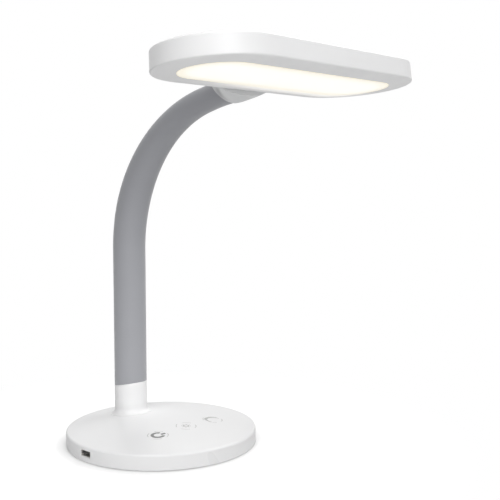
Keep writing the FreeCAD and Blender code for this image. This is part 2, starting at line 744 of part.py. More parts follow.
def make_frame():
    """Front frame: a gently swelling face, a lip under the shell's wall and snap hooks."""
    reach = rim_radius - frame_reach
    inside = inside_radius - seat_clearance
    slant = frame_lip_round * math.cos(math.radians(45))
    outer = Vector(rim_radius, 0, 0)
    shoulder = Vector(rim_radius - frame_lip_round + slant, 0, -slant)
    lip = Vector(rim_radius - frame_lip_round, 0, -frame_lip_round)
    crown_in = Vector(reach, 0, -frame_crown)
    swell = frame_crown - frame_lip_round
    crown_mid = Vector((lip.x + reach) / 2, 0, -frame_lip_round - swell * frame_fullness)
    back = [Vector(reach, 0, frame_plate), Vector(inside - draft_at(frame_plate), 0, frame_plate),
            Vector(inside, 0, 0)]
    edges = [Part.Arc(outer, shoulder, lip).toShape(), Part.Arc(lip, crown_mid, crown_in).toShape(),
             line(crown_in, back[0]), line(back[0], back[1]), line(back[1], back[2]), line(back[2], outer)]
    frame = stadium(face_of(edges), rim_run)
    lap = 2 * diffuser_lap
    window = stadium_plate(window_length, window_width, -2 * frame_crown, 2 * frame_plate)
    seat = stadium_plate(window_length + lap, window_width + lap, diffuser_seat, 2 * frame_plate)
    frame = frame.cut([window, seat])
    for i in range(hook_count):
        x = (i - (hook_count - 1) / 2) * 2 * rim_run / hook_count
        for side in (-1, 1):
            behind_tenon = side > 0 and abs(x) < tenon_width / 2 + hook_width
            if not behind_tenon:
                outside = side * (inside - draft_at(hook_height))
                y0, y1 = sorted((outside, outside - side * hook_thickness))
                frame = frame.fuse(box(x - hook_width / 2, x + hook_width / 2, y0, y1,
                                       frame_plate / 2, hook_height))
    return frame.removeSplitter()


def make_diffuser():
    """Opal diffuser: its middle stands in the frame's window, its flange lies behind the frame."""
    lap = 2 * diffuser_lap - 2 * seat_clearance
    trim = 2 * seat_clearance
    flange = stadium_plate(window_length + lap, window_width + lap, diffuser_seat, diffuser_back)
    window = stadium_plate(window_length - trim, window_width - trim, -frame_crown, diffuser_back)
    return flange.fuse(window).removeSplitter()


def make_reflector():
    """White skirt between the diffuser and the LED board."""
    low = window_width / 2 + diffuser_lap / 2
    high = low + reflector_flare
    skirt = polygon([(low, diffuser_back), (low + reflector_sheet, diffuser_back),
                     (high + reflector_sheet, led_board_z), (high, led_board_z)])
    return stadium(skirt, (window_length - window_width) / 2)


def make_led_board():
    reach = 2 * (diffuser_lap + reflector_flare)
    board = stadium_plate(window_length + reach, window_width + reach, led_board_z,
                          led_board_z + led_board_thickness)
    hole_radius = head_screw_radius + seat_clearance
    return board.cut([post(x, y, 0, head_height, hole_radius) for x, y in stud_places()])


def make_leds():
    """Rows of LEDs over the window, left out where its half-round ends begin."""
    chips = []
    for i in range(led_columns):
        for j in range(led_rows):
            x = (i - (led_columns - 1) / 2) * led_pitch_x
            y = (j - (led_rows - 1) / 2) * led_pitch_y
            past_end = max(0.0, abs(x) - (window_length - window_width) / 2)
            if math.hypot(past_end, y) < window_width / 2:
                chips.append(box(x - led_length / 2, x + led_length / 2, y - led_width / 2, y + led_width / 2,
                                 led_board_z - led_height, led_board_z))
    return Part.makeCompound(chips)


def make_head_screws():
    screws = []
    for x, y in stud_places():
        head = post(x, y, led_board_z - head_screw_head_height, led_board_z, head_screw_head)
        shank = post(x, y, led_board_z, ceiling - screw_tip_gap, head_screw_radius)
        screws.append(head.fuse(shank).removeSplitter())
    return Part.makeCompound(screws)


def oval(place, half_width, half_height):
    """Oval section, half_width along X; a round one when both halves are equal."""
    if half_width == half_height:
        edge = Part.Circle(Vector(), Z_AXIS, half_width).toShape()
    else:
        edge = Part.Ellipse(Vector(), half_width, half_height).toShape()
    ring = Part.Wire([edge])
    ring.Placement = place
    return ring


def before_head(distance, drop):
    """Placement of a section across the coupler, a distance behind the head's rear wall."""
    point = Vector(0, rim_radius + distance, tenon_z - drop)
    return head_place.multiply(Placement(point, Rotation(X_AXIS, 90)))


def make_coupler():
    """Moulded transition that flares from the round neck to the flat rear wall of the head."""
    rings = []
    for reach in (-2 * sleeve_head_radius, -sleeve_head_radius, 0.0, coupler_round_length):
        radius = sleeve_radius(seam_s + reach)
        rings.append(oval(neck_place(seam_s + reach), radius, radius))
    rings.append(oval(before_head(coupler_waist_distance, coupler_waist_drop), coupler_waist_half_width,
                      coupler_waist_half_height))
    rings.append(oval(before_head(-head_wall, coupler_end_drop), coupler_half_width, coupler_half_height))
    outline = head_outline()
    outline.Placement = head_place
    under_rim = stadium_plate(head_length, head_width, -2 * coupler_half_height, 0)
    under_rim.Placement = head_place
    body = Part.makeLoft(rings, True, False).cut([outline, under_rim, below_seam()])
    tenon = tenon_block(0.0, rim_radius - tenon_length, rim_radius + coupler_waist_distance / 2)
    tenon.Placement = head_place
    body = body.fuse(tenon)
    socket_end = core_end_s + seat_clearance
    room = neck_tube(seam_s - coupler_bush_length, socket_end, lambda s: coupler_bush_radius)
    bores = [Part.makeCylinder(lead_hole_radius, 2 * coupler_bush_length + tenon_length,
                               Vector(0, rim_radius - tenon_length - cut_margin, tenon_z), Vector(0, 1, 0))]
    screw_end = rim_radius + clamp_screw_bite + screw_tip_gap
    bores += clamp_bores(head_screw_radius, rim_radius - head_wall, screw_end)
    for bore in bores:
        bore.Placement = head_place
    return body.cut([room] + bores).removeSplitter()


def make_bush():
    """Steel bush pressed on the upper end of the neck's steel tube, seated in the coupler."""
    start = core_end_s - coupler_bush_length
    bush = neck_tube(start, core_end_s, lambda s: coupler_bush_radius - core_fit)
    bore = neck_tube(start - cut_margin, core_end_s + cut_margin, lambda s: core_radius + core_fit)
    return bush.cut(bore).cut(below_seam())


def make_clamp_plate():
    """Plate inside the head that the coupler's screws pull against."""
    half = clamp_plate_width / 2
    back = clamp_face_y - clamp_plate_thickness
    plate = box(-half, half, back, clamp_face_y,
                tenon_z - clamp_plate_height / 2, tenon_z + clamp_plate_height / 2)
    plate = plate.cut([tenon_block(seat_clearance, 0, rim_radius)]
                      + clamp_bores(head_screw_radius + seat_clearance, 0, rim_radius))
    plate.Placement = head_place
    return plate


def make_clamp_screws():
    back = clamp_face_y - clamp_plate_thickness
    heads = clamp_bores(head_screw_head, back - head_screw_head_height, back)
    shanks = clamp_bores(head_screw_radius, back, rim_radius + clamp_screw_bite)
    group = Part.makeCompound([head.fuse(shank).removeSplitter() for head, shank in zip(heads, shanks)])
    group.Placement = head_place
    return group


def make_base():
    keep("base_cover", make_cover())
    keep("neck_collar", make_collar())
    keep("base_bottom", make_bottom())
    keep("foot_ring", make_foot_ring())
    keep("base_screws", make_base_screws())
    keep("ballast_weight", make_ballast())
    keep("main_board", make_main_board())
    keep("board_parts", make_board_parts())
    shell, tongue = make_usb()
    keep("usb_shell", shell)
    keep("usb_tongue", tongue)
    body, pin = make_inlet()
    keep("power_inlet", body)
    keep("inlet_pin", pin)
    keep("touch_board", make_touch_board())
    keep("touch_pads", make_touch_pads())
    keep("touch_screws", make_touch_screws())
    keep("neck_anchor", make_anchor())
    keep("anchor_screws", make_anchor_screws())


def make_head():
    pieces = {"head_shell": make_head_shell(), "head_frame": make_frame(), "diffuser": make_diffuser(),
              "reflector": make_reflector(), "led_board": make_led_board(), "leds": make_leds(),
              "led_board_screws": make_head_screws()}
    for name, shape in pieces.items():
        shape.Placement = head_place
        keep(name, shape)
    keep("neck_coupler", make_coupler())
    keep("neck_end_bush", make_bush())
    keep("clamp_plate", make_clamp_plate())
    keep("clamp_screws", make_clamp_screws())


make_base()
make_neck()
make_head()
os.makedirs("parts", exist_ok=True)
for name, shape in PARTS.items():
    shape.exportStep("parts/%s.step" % name)
    print("%-18s solids %2d valid %s volume %9.1f" % (name, len(shape.Solids), shape.isValid(), shape.Volume))
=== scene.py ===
import math

import bpy
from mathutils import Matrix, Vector


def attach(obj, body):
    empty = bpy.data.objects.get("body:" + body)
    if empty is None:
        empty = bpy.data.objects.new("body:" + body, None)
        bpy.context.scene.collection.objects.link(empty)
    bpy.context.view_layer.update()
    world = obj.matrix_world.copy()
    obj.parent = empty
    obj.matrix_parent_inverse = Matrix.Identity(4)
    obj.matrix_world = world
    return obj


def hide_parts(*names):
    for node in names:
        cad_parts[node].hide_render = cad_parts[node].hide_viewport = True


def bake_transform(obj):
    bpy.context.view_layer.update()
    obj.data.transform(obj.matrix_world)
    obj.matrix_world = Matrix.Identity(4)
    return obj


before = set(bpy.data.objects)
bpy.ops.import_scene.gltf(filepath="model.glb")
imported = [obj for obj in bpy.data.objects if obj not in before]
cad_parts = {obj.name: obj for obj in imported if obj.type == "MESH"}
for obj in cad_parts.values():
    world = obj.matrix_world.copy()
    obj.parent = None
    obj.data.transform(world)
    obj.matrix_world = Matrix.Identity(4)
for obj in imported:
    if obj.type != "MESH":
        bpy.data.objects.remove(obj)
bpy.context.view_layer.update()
MM = 0.001


# ---------------------------------------------------------------- studio
# A white sweep under plain soft light: five square panels round the lamp, the strongest in front. The matt
# floor keeps the lamp's soft shadow, is painted darker close to the base, where hardly any light gets in, and
# is pure white to the camera further out.
camera_place = Vector((-535.75, -609.72, 249.13)) * MM
camera_forward = Vector((0.73236, 0.67609, -0.08089))
camera_lens = 61.75
sensor_width = 36.0
lamp_middle = Vector((0.0, -0.05, 0.18))
panel_distance = 1.8
panel_size = 1.0
panels = (  # name, degrees round from the user's side, degrees above the table, watts
    ("panel_front", -30, 12, 12.6),
    ("panel_front_left", -60, 45, 12.4),
    ("panel_overhead", 0, 85, 11.6),
    ("panel_right", 75, 45, 9.8),
    ("panel_back_right", 120, 45, 4.6),
)
ambient = 0.1
floor_half = 2.2
floor_glow = 0.38
floor_grey = 0.8
shadow_reach = (0.14, 0.3)
contact_reach = (0.088, 0.106)
contact_shade = 0.8


class Signal:
    """A value on its way through a material's nodes, so that sums of masks read as plain sums."""

    def __init__(self, tree, socket=None):
        self.tree = tree
        self.socket = socket

    def node(self, kind, settings=None, inputs=None, output=0):
        """Adds a node: its settings first, then values or signals on its inputs. Gives one output."""
        made = self.tree.nodes.new("ShaderNode" + kind)
        for name, value in (settings or {}).items():
            setattr(made, name, value)
        for name, value in (inputs or {}).items():
            if isinstance(value, Signal):
                self.tree.links.new(value.socket, made.inputs[name])
            else:
                made.inputs[name].default_value = value
        return Signal(self.tree, made.outputs[output])

    def maths(self, operation, *values):
        return self.node("Math", {"operation": operation}, dict(enumerate(values)))

    def __add__(self, other):
        return self.maths("ADD", self, other)

    __radd__ = __add__

    def __sub__(self, other):
        return self.maths("SUBTRACT", self, other)

    def __rsub__(self, other):
        return self.maths("SUBTRACT", other, self)

    def __mul__(self, other):
        return self.maths("MULTIPLY", self, other)

    __rmul__ = __mul__

    def __truediv__(self, other):
        return self.maths("DIVIDE", self, other)

    def __rtruediv__(self, other):
        return self.maths("DIVIDE", other, self)

    def __pow__(self, other):
        return self.maths("POWER", self, other)

    def __abs__(self):
        return self.maths("ABSOLUTE", self)

    def ranged(self, low, high, to_low=0.0, to_high=1.0):
        """The stretch of this value from low to high, eased from to_low to to_high and held there beyond."""
        return self.node("MapRange", {"interpolation_type": "SMOOTHSTEP"},
                         {"Value": self, "From Min": low, "From Max": high,
                          "To Min": to_low, "To Max": to_high})

    def between(self, low, high):
        """The colour that lies between two colours, low where this value is 0 and high where it is 1."""
        return self.node("Mix", {"data_type": "RGBA"}, {"Factor": self, 6: low, 7: high}, 2)


def rgb(red, green, blue):
    return (red, green, blue, 1.0)


camera = bpy.data.objects.new("camera", bpy.data.cameras.new("camera"))
bpy.context.scene.collection.objects.link(camera)
camera.data.lens = camera_lens
camera.data.sensor_width = sensor_width
camera.location = camera_place
camera.rotation_mode = "QUATERNION"
camera.rotation_quaternion = camera_forward.to_track_quat("-Z", "Y")
bpy.context.scene.camera = camera
bpy.context.scene.view_settings.view_transform = "Standard"

for name, round_from_user, above, watts in panels:
    bearing, height = math.radians(round_from_user), math.radians(above)
    level = math.cos(height)
    outwards = Vector((math.sin(bearing) * level, -math.cos(bearing) * level, math.sin(height)))
    light = bpy.data.lights.new(name, "AREA")
    light.size = panel_size
    light.energy = watts
    panel = bpy.data.objects.new(name, light)
    bpy.context.scene.collection.objects.link(panel)
    panel.location = lamp_middle + outwards * panel_distance
    panel.rotation_mode = "QUATERNION"
    panel.rotation_quaternion = (-outwards).to_track_quat("-Z", "Y")

paper = bpy.data.materials.new("floor_paper")
paper.use_nodes = True
paper.node_tree.nodes.clear()
start = Signal(paper.node_tree)
matt = start.node("BsdfDiffuse", None, {"Color": rgb(floor_grey, floor_grey, floor_grey)})
glow = start.node("Emission", None, {"Color": rgb(1, 1, 1), "Strength": floor_glow})
lifted = start.node("AddShader", None, {0: matt, 1: glow})
plain_white = start.node("Emission", None, {"Color": rgb(1, 1, 1), "Strength": 1.0})
from_middle = start.node("TexCoord", output="Object")
distance = start.node("VectorMath", {"operation": "LENGTH"}, {0: from_middle}, "Value")
unlit = start.node("Emission", None, {"Color": rgb(0, 0, 0), "Strength": 0.0})
near = distance.ranged(*contact_reach, contact_shade, 1.0)
shaded = start.node("MixShader", None, {"Fac": near, 1: unlit, 2: lifted})
paper_seen = start.node("MixShader", None, {"Fac": distance.ranged(*shadow_reach), 1: shaded, 2: plain_white})
seen = start.node("LightPath", output="Is Camera Ray")
both = start.node("MixShader", None, {"Fac": seen, 1: matt, 2: paper_seen})
end = paper.node_tree.nodes.new("ShaderNodeOutputMaterial")
paper.node_tree.links.new(both.socket, end.inputs["Surface"])
corners = [(x * floor_half, y * floor_half, 0) for x, y in ((-1, -1), (1, -1), (1, 1), (-1, 1))]
floor_mesh = bpy.data.meshes.new("floor")
floor_mesh.from_pydata(corners, [], [(0, 1, 2, 3)])
floor_mesh.materials.append(paper)
floor = bpy.data.objects.new("floor", floor_mesh)
bpy.context.scene.collection.objects.link(floor)

world = bpy.data.worlds.new("studio")
bpy.context.scene.world = world
world.use_nodes = True
sky = Signal(world.node_tree)
white = sky.node("Background", None, {"Color": rgb(1, 1, 1), "Strength": 1.0})
soft = sky.node("Background", None, {"Color": rgb(1, 1, 1), "Strength": ambient})
straight = [sky.node("LightPath", output=kind) for kind in
            ("Is Camera Ray", "Is Glossy Ray", "Is Transmission Ray")]
backdrop = sky.node("MixShader", None, {"Fac": straight[0] + straight[1] + straight[2], 1: soft, 2: white})
world.node_tree.links.new(backdrop.socket, world.node_tree.nodes["World Output"].inputs["Surface"])


# ---------------------------------------------------------------- base cover
# Injection-moulded cover in glossy white ABS. The mould leaves a barely seen ripple, and the gloss is a
# little uneven.
abs_light = rgb(0.842, 0.842, 0.845)
abs_dark = rgb(0.828, 0.828, 0.832)
abs_ripple = 0.00002


def finish_of(name, **constants):
    """A material with one Principled shader: its fixed values are set on its own sockets."""
    material = bpy.data.materials.new(name)
    material.use_nodes = True
    shader = material.node_tree.nodes["Principled BSDF"]
    for socket, value in constants.items():
        shader.inputs[socket.replace("_", " ")].default_value = value
    return material, Signal(material.node_tree), shader


def feed(shader, **signals):
    for socket, signal in signals.items():
        signal.tree.links.new(signal.socket, shader.inputs[socket.replace("_", " ")])


def place_in(start):
    """The place on the piece, in metres, in the lamp's own frame."""
    return start.node("TexCoord", output="Object")


def noise(start, scale, detail=2.0):
    """Soft noise with so many swells to the metre."""
    return start.node("TexNoise", None, {"Vector": place_in(start), "Scale": scale, "Detail": detail})


def relief(start, height, depth):
    """Small relief of the surface, depth metres from its lowest to its highest."""
    return start.node("Bump", None, {"Height": height, "Strength": 1.0, "Distance": depth})


def dress(material, slot, *names):
    """Gives CAD nodes their finish."""
    for name in names:
        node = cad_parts[name]
        node.data.materials.clear()
        node.data.materials.append(material)


material, start, shader = finish_of("white_abs_gloss", Roughness=0.28)
cloud = noise(start, 14.0, 1.0)
feed(shader, Base_Color=cloud.ranged(0.2, 0.8).between(abs_dark, abs_light),
     Roughness=cloud.ranged(0.2, 0.8, 0.27, 0.31), Normal=relief(start, noise(start, 140.0), abs_ripple))
dress(material, "white_housing", "base_cover")


# ---------------------------------------------------------------- touch key symbols
# Pad-printed marks over the three touch sensors: a power sign in dark grey ink, a sun and a crescent in pale
# grey, each inside a thin ring. The ink is a film that follows the crowned top.
base_radius = 90.0
rim_height = 14.5
crown_height = 22.0
crown_rise = crown_height - rim_height
crown_radius = (base_radius ** 2 + crown_rise ** 2) / (2 * crown_rise)
ink_film = 0.03
ink_root = 0.25
ink_step = math.radians(6.0)
crease = math.radians(35.0)
key_row = -34.0
key_pitch = 34.7
key_ring_radius = 9.3
key_ring_width = 0.6
key_ring_dashes = 4
key_ring_dash = 52.0
power_radius = 5.2
power_width = 2.9
power_turn = -12.0
power_gap = 42.0
power_bar = (3.0, 7.6)
sun_radius = 2.3
sun_width = 1.2
sun_rays = 8
sun_ray = (3.4, 4.6)
sun_ray_width = 0.9
moon_radius = 6.4
moon_width = 3.2
moon_turn = -8.0
moon_sweep = 225.0
moon_tip = 0.06


def new_piece(name, points, faces, material, smooth=True):
    """A mesh piece from points in millimetres; a smooth one keeps its creases sharp."""
    mesh = bpy.data.meshes.new(name)
    mesh.from_pydata([Vector(p) * MM for p in points], [], faces)
    mesh.validate()
    mesh.materials.append(material)
    piece = bpy.data.objects.new(name, mesh)
    bpy.context.scene.collection.objects.link(piece)
    if smooth:
        mesh.shade_smooth()
        mesh.set_sharp_from_angle(angle=crease)
    return piece


def on_crown(x, y, lift):
    """Point over (x, y), so far above the crowned top."""
    return x, y, crown_height - crown_radius + math.sqrt(crown_radius ** 2 - x * x - y * y) + lift


def ink_band(edges, closed):
    """Film between an inner and an outer edge, given as pairs of points, rooted just under the crown."""
    points = []
    for inner, outer in edges:
        points += [on_crown(*inner, -ink_root), on_crown(*outer, -ink_root),
                   on_crown(*outer, ink_film), on_crown(*inner, ink_film)]
    count = len(edges)
    faces = []
    for k in range(count if closed else count - 1):
        low, high = 4 * k, 4 * ((k + 1) % count)
        faces += [(low + i, low + (i + 1) % 4, high + (i + 1) % 4, high + i) for i in range(4)]
    if not closed:
        last = 4 * (count - 1)
        faces += [(3, 2, 1, 0), (last, last + 1, last + 2, last + 3)]
    return points, faces


def ink_arc(middle, radius, width, first=0.0, sweep=360.0, tapered=False):
    """Printed arc round a point; a tapered one thins out to its tips, as a crescent does."""
    closed = sweep >= 360.0
    count = max(6, math.ceil(math.radians(sweep) / ink_step))
    edges = []
    for k in range(count if closed else count + 1):
        turn = math.radians(first + sweep * k / count)
        half = width / 2
        if tapered:
            half *= math.sin(math.pi * (moon_tip + (1 - 2 * moon_tip) * k / count))
        inner = radius - (2 * half - width / 2 if tapered else half)
        outer = radius + (width / 2 if tapered else half)
        edges.append([(middle[0] + r * math.cos(turn), middle[1] + r * math.sin(turn))
                      for r in (inner, outer)])
    return ink_band(edges, closed)


def ink_bar(middle, turn, reach, width):
    """Printed straight stroke that points away from the middle."""
    out = Vector((math.cos(math.radians(turn)), math.sin(math.radians(turn))))
    side = Vector((-out.y, out.x)) * width / 2
    ends = [Vector(middle) + out * r for r in reach]
    return ink_band([(tuple(p + side), tuple(p - side)) for p in ends], False)


def print_mark(name, strokes, material):
    """One printed mark, made of all its strokes."""
    points, faces = [], []
    for stroke_points, stroke_faces in strokes:
        faces += [tuple(i + len(points) for i in face) for face in stroke_faces]
        points += stroke_points
    mark = new_piece(name, points, faces, material, smooth=False)
    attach(mark, "base")


def ink(name, dark, light):
    """Matt printing ink, a little thinner here and there."""
    material, start, shader = finish_of(name, Roughness=0.5)
    cover = noise(start, 900.0, 3.0)
    feed(shader, Base_Color=cover.ranged(0.3, 0.7).between(dark, light),
         Roughness=cover.ranged(0.3, 0.7, 0.42, 0.55))
    return material


dark_ink = ink("ink_dark_grey", rgb(0.17, 0.17, 0.165), rgb(0.22, 0.22, 0.215))
pale_ink = ink("ink_pale_grey", rgb(0.46, 0.46, 0.45), rgb(0.52, 0.52, 0.51))
power, sun, moon = [(x, key_row) for x in (-key_pitch, 0.0, key_pitch)]
for name, middle in (("key_ring_power", power), ("key_ring_sun", sun), ("key_ring_moon", moon)):
    starts = [360.0 * (k + 0.5) / key_ring_dashes - key_ring_dash / 2 for k in range(key_ring_dashes)]
    arcs = [ink_arc(middle, key_ring_radius, key_ring_width, first, key_ring_dash) for first in starts]
    print_mark(name, arcs, pale_ink)
open_ring = ink_arc(power, power_radius, power_width, power_turn + power_gap, 360 - 2 * power_gap)
print_mark("mark_power", [open_ring, ink_bar(power, power_turn, power_bar, power_width)], dark_ink)
rays = [ink_bar(sun, 360.0 * k / sun_rays, sun_ray, sun_ray_width) for k in range(sun_rays)]
print_mark("mark_sun", [ink_arc(sun, sun_radius, sun_width), *rays], pale_ink)
crescent = ink_arc(moon, moon_radius, moon_width, moon_turn, moon_sweep, tapered=True)
print_mark("mark_moon", [crescent], pale_ink)


# ---------------------------------------------------------------- neck collar
# Tube of white ABS that the neck rises from; its wall above the foot is painted paler than the cover, as
# painted light. Its hollow-curved foot ends in a thin edge on the crowned top, and its upper edge is cut on a
# slant, higher on the user's side.
setback = 46.0
collar_height = 49.1
collar_slant = 11.0
collar_radius = 15.7
collar_bore = 13.0
foot_round = 5.5
foot_lip = 0.4
foot_root = 0.6
collar_edge_round = 0.35
collar_edge_turns = (math.radians(45.0), math.radians(90.0))
painted_light_above = (0.022, 0.034)
around_count = 96
foot_steps = 10
wall_steps = 6

material, start, shader = finish_of("collar_abs_gloss", Roughness=0.28)
cloud = noise(start, 30.0, 1.0)
height = start.node("SeparateXYZ", None, {"Vector": place_in(start)}, "Z")
# Painted light: the wall is a paler white above the foot than at the foot.
wall = height.ranged(*painted_light_above).between(abs_light, rgb(0.905, 0.905, 0.908))
feed(shader, Base_Color=cloud.ranged(0.2, 0.8, 0.0, 0.12).between(wall, abs_dark),
     Roughness=cloud.ranged(0.2, 0.8, 0.27, 0.31), Normal=relief(start, noise(start, 140.0), abs_ripple))


def tube_faces(rings, around):
    """Quads between rings of points, the last one joined to the first."""
    faces = []
    for k in range(rings):
        low, high = k * around, (k + 1) % rings * around
        faces += [(low + i, low + (i + 1) % around, high + (i + 1) % around, high + i) for i in range(around)]
    return faces


def collar_profile(turn):
    """Section of the collar in one direction: from the bore's foot outwards, up and back in."""
    out = Vector((math.cos(turn), math.sin(turn)))

    def over_crown(r, lift):
        return r, on_crown(out.x * r, setback + out.y * r, lift)[2]

    rim = collar_radius + foot_round - foot_lip
    arc_middle = collar_radius + foot_round
    arc_end = math.acos(foot_lip / foot_round)
    section = [over_crown(collar_bore, -foot_root), over_crown(rim, -foot_root)]
    for k in range(foot_steps + 1):
        a = arc_end * (1 - k / foot_steps)
        section.append(over_crown(arc_middle - foot_round * math.cos(a),
                                  foot_lip + foot_round * (1 - math.sin(a))))
    foot_top = section[-1][1]
    slope = math.tan(math.radians(collar_slant))
    edge = collar_height - collar_radius * out.y * slope
    for k in range(1, wall_steps + 1):
        section.append((collar_radius, foot_top + (edge - collar_edge_round - foot_top) * k / wall_steps))
    for a in collar_edge_turns:
        section.append((collar_radius - collar_edge_round * (1 - math.cos(a)),
                        edge - collar_edge_round * (1 - math.sin(a))))
    section.append((collar_bore, collar_height - collar_bore * out.y * slope))
    return [(out.x * r, setback + out.y * r, z) for r, z in section]


sections = [collar_profile(2 * math.pi * i / around_count) for i in range(around_count)]
rings = len(sections[0])
points = [section[k] for k in range(rings) for section in sections]
collar = new_piece("collar", points, tube_faces(rings, around_count), material)
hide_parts("neck_collar")
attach(collar, "base")


# ---------------------------------------------------------------- bottom plate and its screws
# Plate of plain white ABS with the fine grain of a spark-eroded mould, held by four slotted zinc-plated
# screws. It carries a ring of black rubber that keeps the lamp from sliding.
plate_grain = 0.00004
rubber_scuff = 0.00005

material, start, shader = finish_of("plate_abs_grain", Roughness=0.55)
grain = noise(start, 1500.0, 3.0)
tone = noise(start, 40.0).ranged(0.35, 0.65)
feed(shader, Base_Color=tone.between(rgb(0.70, 0.70, 0.70), rgb(0.74, 0.74, 0.74)),
     Roughness=grain.ranged(0.3, 0.7, 0.5, 0.62), Normal=relief(start, grain, plate_grain))
dress(material, "base_plastic", "base_bottom")

material, start, shader = finish_of("foot_rubber", Roughness=0.8)
scuff = noise(start, 500.0, 4.0)
feed(shader, Base_Color=scuff.ranged(0.4, 0.8).between(rgb(0.016, 0.016, 0.016), rgb(0.035, 0.035, 0.034)),
     Roughness=scuff.ranged(0.3, 0.7, 0.72, 0.88), Normal=relief(start, scuff, rubber_scuff))
dress(material, "foot_rubber", "foot_ring")

material, start, shader = finish_of("zinc_plate", Metallic=1.0, Roughness=0.36)
bloom = noise(start, 1200.0, 3.0)
feed(shader, Base_Color=bloom.ranged(0.3, 0.7).between(rgb(0.52, 0.53, 0.55), rgb(0.62, 0.63, 0.64)),
     Roughness=bloom.ranged(0.3, 0.7, 0.3, 0.44))
dress(material, "zinc_screw", "base_screws", "touch_screws", "anchor_screws", "led_board_screws",
      "clamp_screws")


# ---------------------------------------------------------------- weight and the neck's steel parts
# Disc of hot-rolled steel, the turned anchor that bolts the neck to it, the turned bush at the neck's upper
# end and the stamped plate that clamps the coupler. All are oiled and bare.
steel_grain = 0.00001

material, start, shader = finish_of("bare_steel", Metallic=1.0, Roughness=0.42)
scale = noise(start, 160.0, 5.0)
fine = noise(start, 3000.0)
feed(shader, Base_Color=scale.ranged(0.35, 0.7).between(rgb(0.30, 0.30, 0.31), rgb(0.46, 0.46, 0.47)),
     Roughness=(scale * 0.2 + fine * 0.1).ranged(0.0, 0.3, 0.3, 0.55),
     Normal=relief(start, fine, steel_grain))
dress(material, "steel", "ballast_weight", "neck_anchor", "neck_end_bush", "clamp_plate")


# ---------------------------------------------------------------- charging port
# Folded nickel-plated shell with a black tongue, open to the left. Four gilt spring contacts lie under the
# tongue.
port_mouth = -89.4
port_height = 8.3
contact_count = 4
contact_pitch = 2.2
contact_width = 1.1
contact_start = 2.6
contact_length = 6.5
contact_sheet = 0.2
contact_bow = 0.45
bow_steps = 8
nylon_grain = 0.00001

material, start, shader = finish_of("nickel_plate", Metallic=1.0, Roughness=0.3)
bloom = noise(start, 900.0)
feed(shader, Base_Color=bloom.ranged(0.3, 0.7).between(rgb(0.82, 0.81, 0.79), rgb(0.88, 0.87, 0.85)),
     Roughness=bloom.ranged(0.3, 0.7, 0.36, 0.46))
dress(material, "port_steel", "usb_shell", "inlet_pin")

material, start, shader = finish_of("black_nylon", Roughness=0.5)
grain = noise(start, 1800.0)
feed(shader, Base_Color=grain.ranged(0.3, 0.7).between(rgb(0.010, 0.010, 0.011), rgb(0.018, 0.018, 0.019)),
     Roughness=grain.ranged(0.3, 0.7, 0.44, 0.56), Normal=relief(start, grain, nylon_grain))
dress(material, "component_black", "usb_tongue", "power_inlet", "board_parts")

gilt, start, shader = finish_of("contact_gilt", Metallic=1.0, Roughness=0.25)
tone = noise(start, 1500.0).ranged(0.3, 0.7)
feed(shader, Base_Color=tone.between(rgb(0.75, 0.54, 0.22), rgb(0.83, 0.62, 0.28)))
points, faces = [], []
for i in range(contact_count):
    middle = (i - (contact_count - 1) / 2) * contact_pitch
    for k in range(bow_steps + 1):
        x = port_mouth + contact_start + contact_length * k / bow_steps
        z = port_height - contact_bow * math.sin(math.pi * k / bow_steps) ** 2
        for y in (middle - contact_width / 2, middle + contact_width / 2):
            points += [(x, y, z - contact_sheet), (x, y, z)]
    first = i * 4 * (bow_steps + 1)
    for k in range(bow_steps):
        low, high = first + 4 * k, first + 4 * k + 4
        faces += [(low + a, low + b, high + b, high + a) for a, b in ((0, 1), (1, 3), (3, 2), (2, 0))]
    last = first + 4 * bow_steps
    faces += [(first, first + 2, first + 3, first + 1), (last, last + 1, last + 3, last + 2)]
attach(new_piece("port_contacts", points, faces, gilt), "base")


# ---------------------------------------------------------------- circuit boards in the base
# Main board and touch board: green solder mask over etched tracks. The touch board presses three pads of
# black conductive foam against the cover.
track_pitch = 0.0024
track_height = 0.00003
foam_cell_depth = 0.0001

material, start, shader = finish_of("solder_mask", Roughness=0.35, Coat_Weight=0.3)
tracks = start.node("TexBrick", None,
                    {"Vector": place_in(start), "Scale": 1 / track_pitch, "Color1": rgb(0, 0, 0),
                     "Color2": rgb(0, 0, 0), "Mortar": rgb(1, 1, 1), "Mortar Size": 0.04})
feed(shader, Base_Color=tracks.ranged(0.2, 0.8).between(rgb(0.012, 0.10, 0.035), rgb(0.03, 0.19, 0.07)),
     Normal=relief(start, tracks, track_height))
dress(material, "board_green", "main_board", "touch_board")

material, start, shader = finish_of("conductive_foam", Roughness=0.9)
cells = start.node("TexVoronoi", None, {"Vector": place_in(start), "Scale": 1600.0})
feed(shader, Base_Color=cells.ranged(0.0, 0.6).between(rgb(0.012, 0.012, 0.012), rgb(0.04, 0.04, 0.04)),
     Normal=relief(start, cells, foam_cell_depth))
dress(material, "contact_foam", "touch_pads")


# ---------------------------------------------------------------- steel tube of the neck
# Flexible tube wound from formed steel strip: its turns show as fine ribs all along it.
turn_pitch = 0.0036
turn_depth = 0.0004

material, start, shader = finish_of("wound_strip", Metallic=1.0, Roughness=0.38)
turns = start.node("TexWave", {"bands_direction": "DIAGONAL"},
                   {"Vector": place_in(start), "Scale": 1 / turn_pitch, "Distortion": 0.3})
feed(shader, Base_Color=turns.ranged(0.1, 0.6).between(rgb(0.20, 0.20, 0.21), rgb(0.55, 0.55, 0.56)),
     Normal=relief(start, turns, turn_depth))
dress(material, "gooseneck_steel", *["neck_core_%d" % k for k in range(10)])
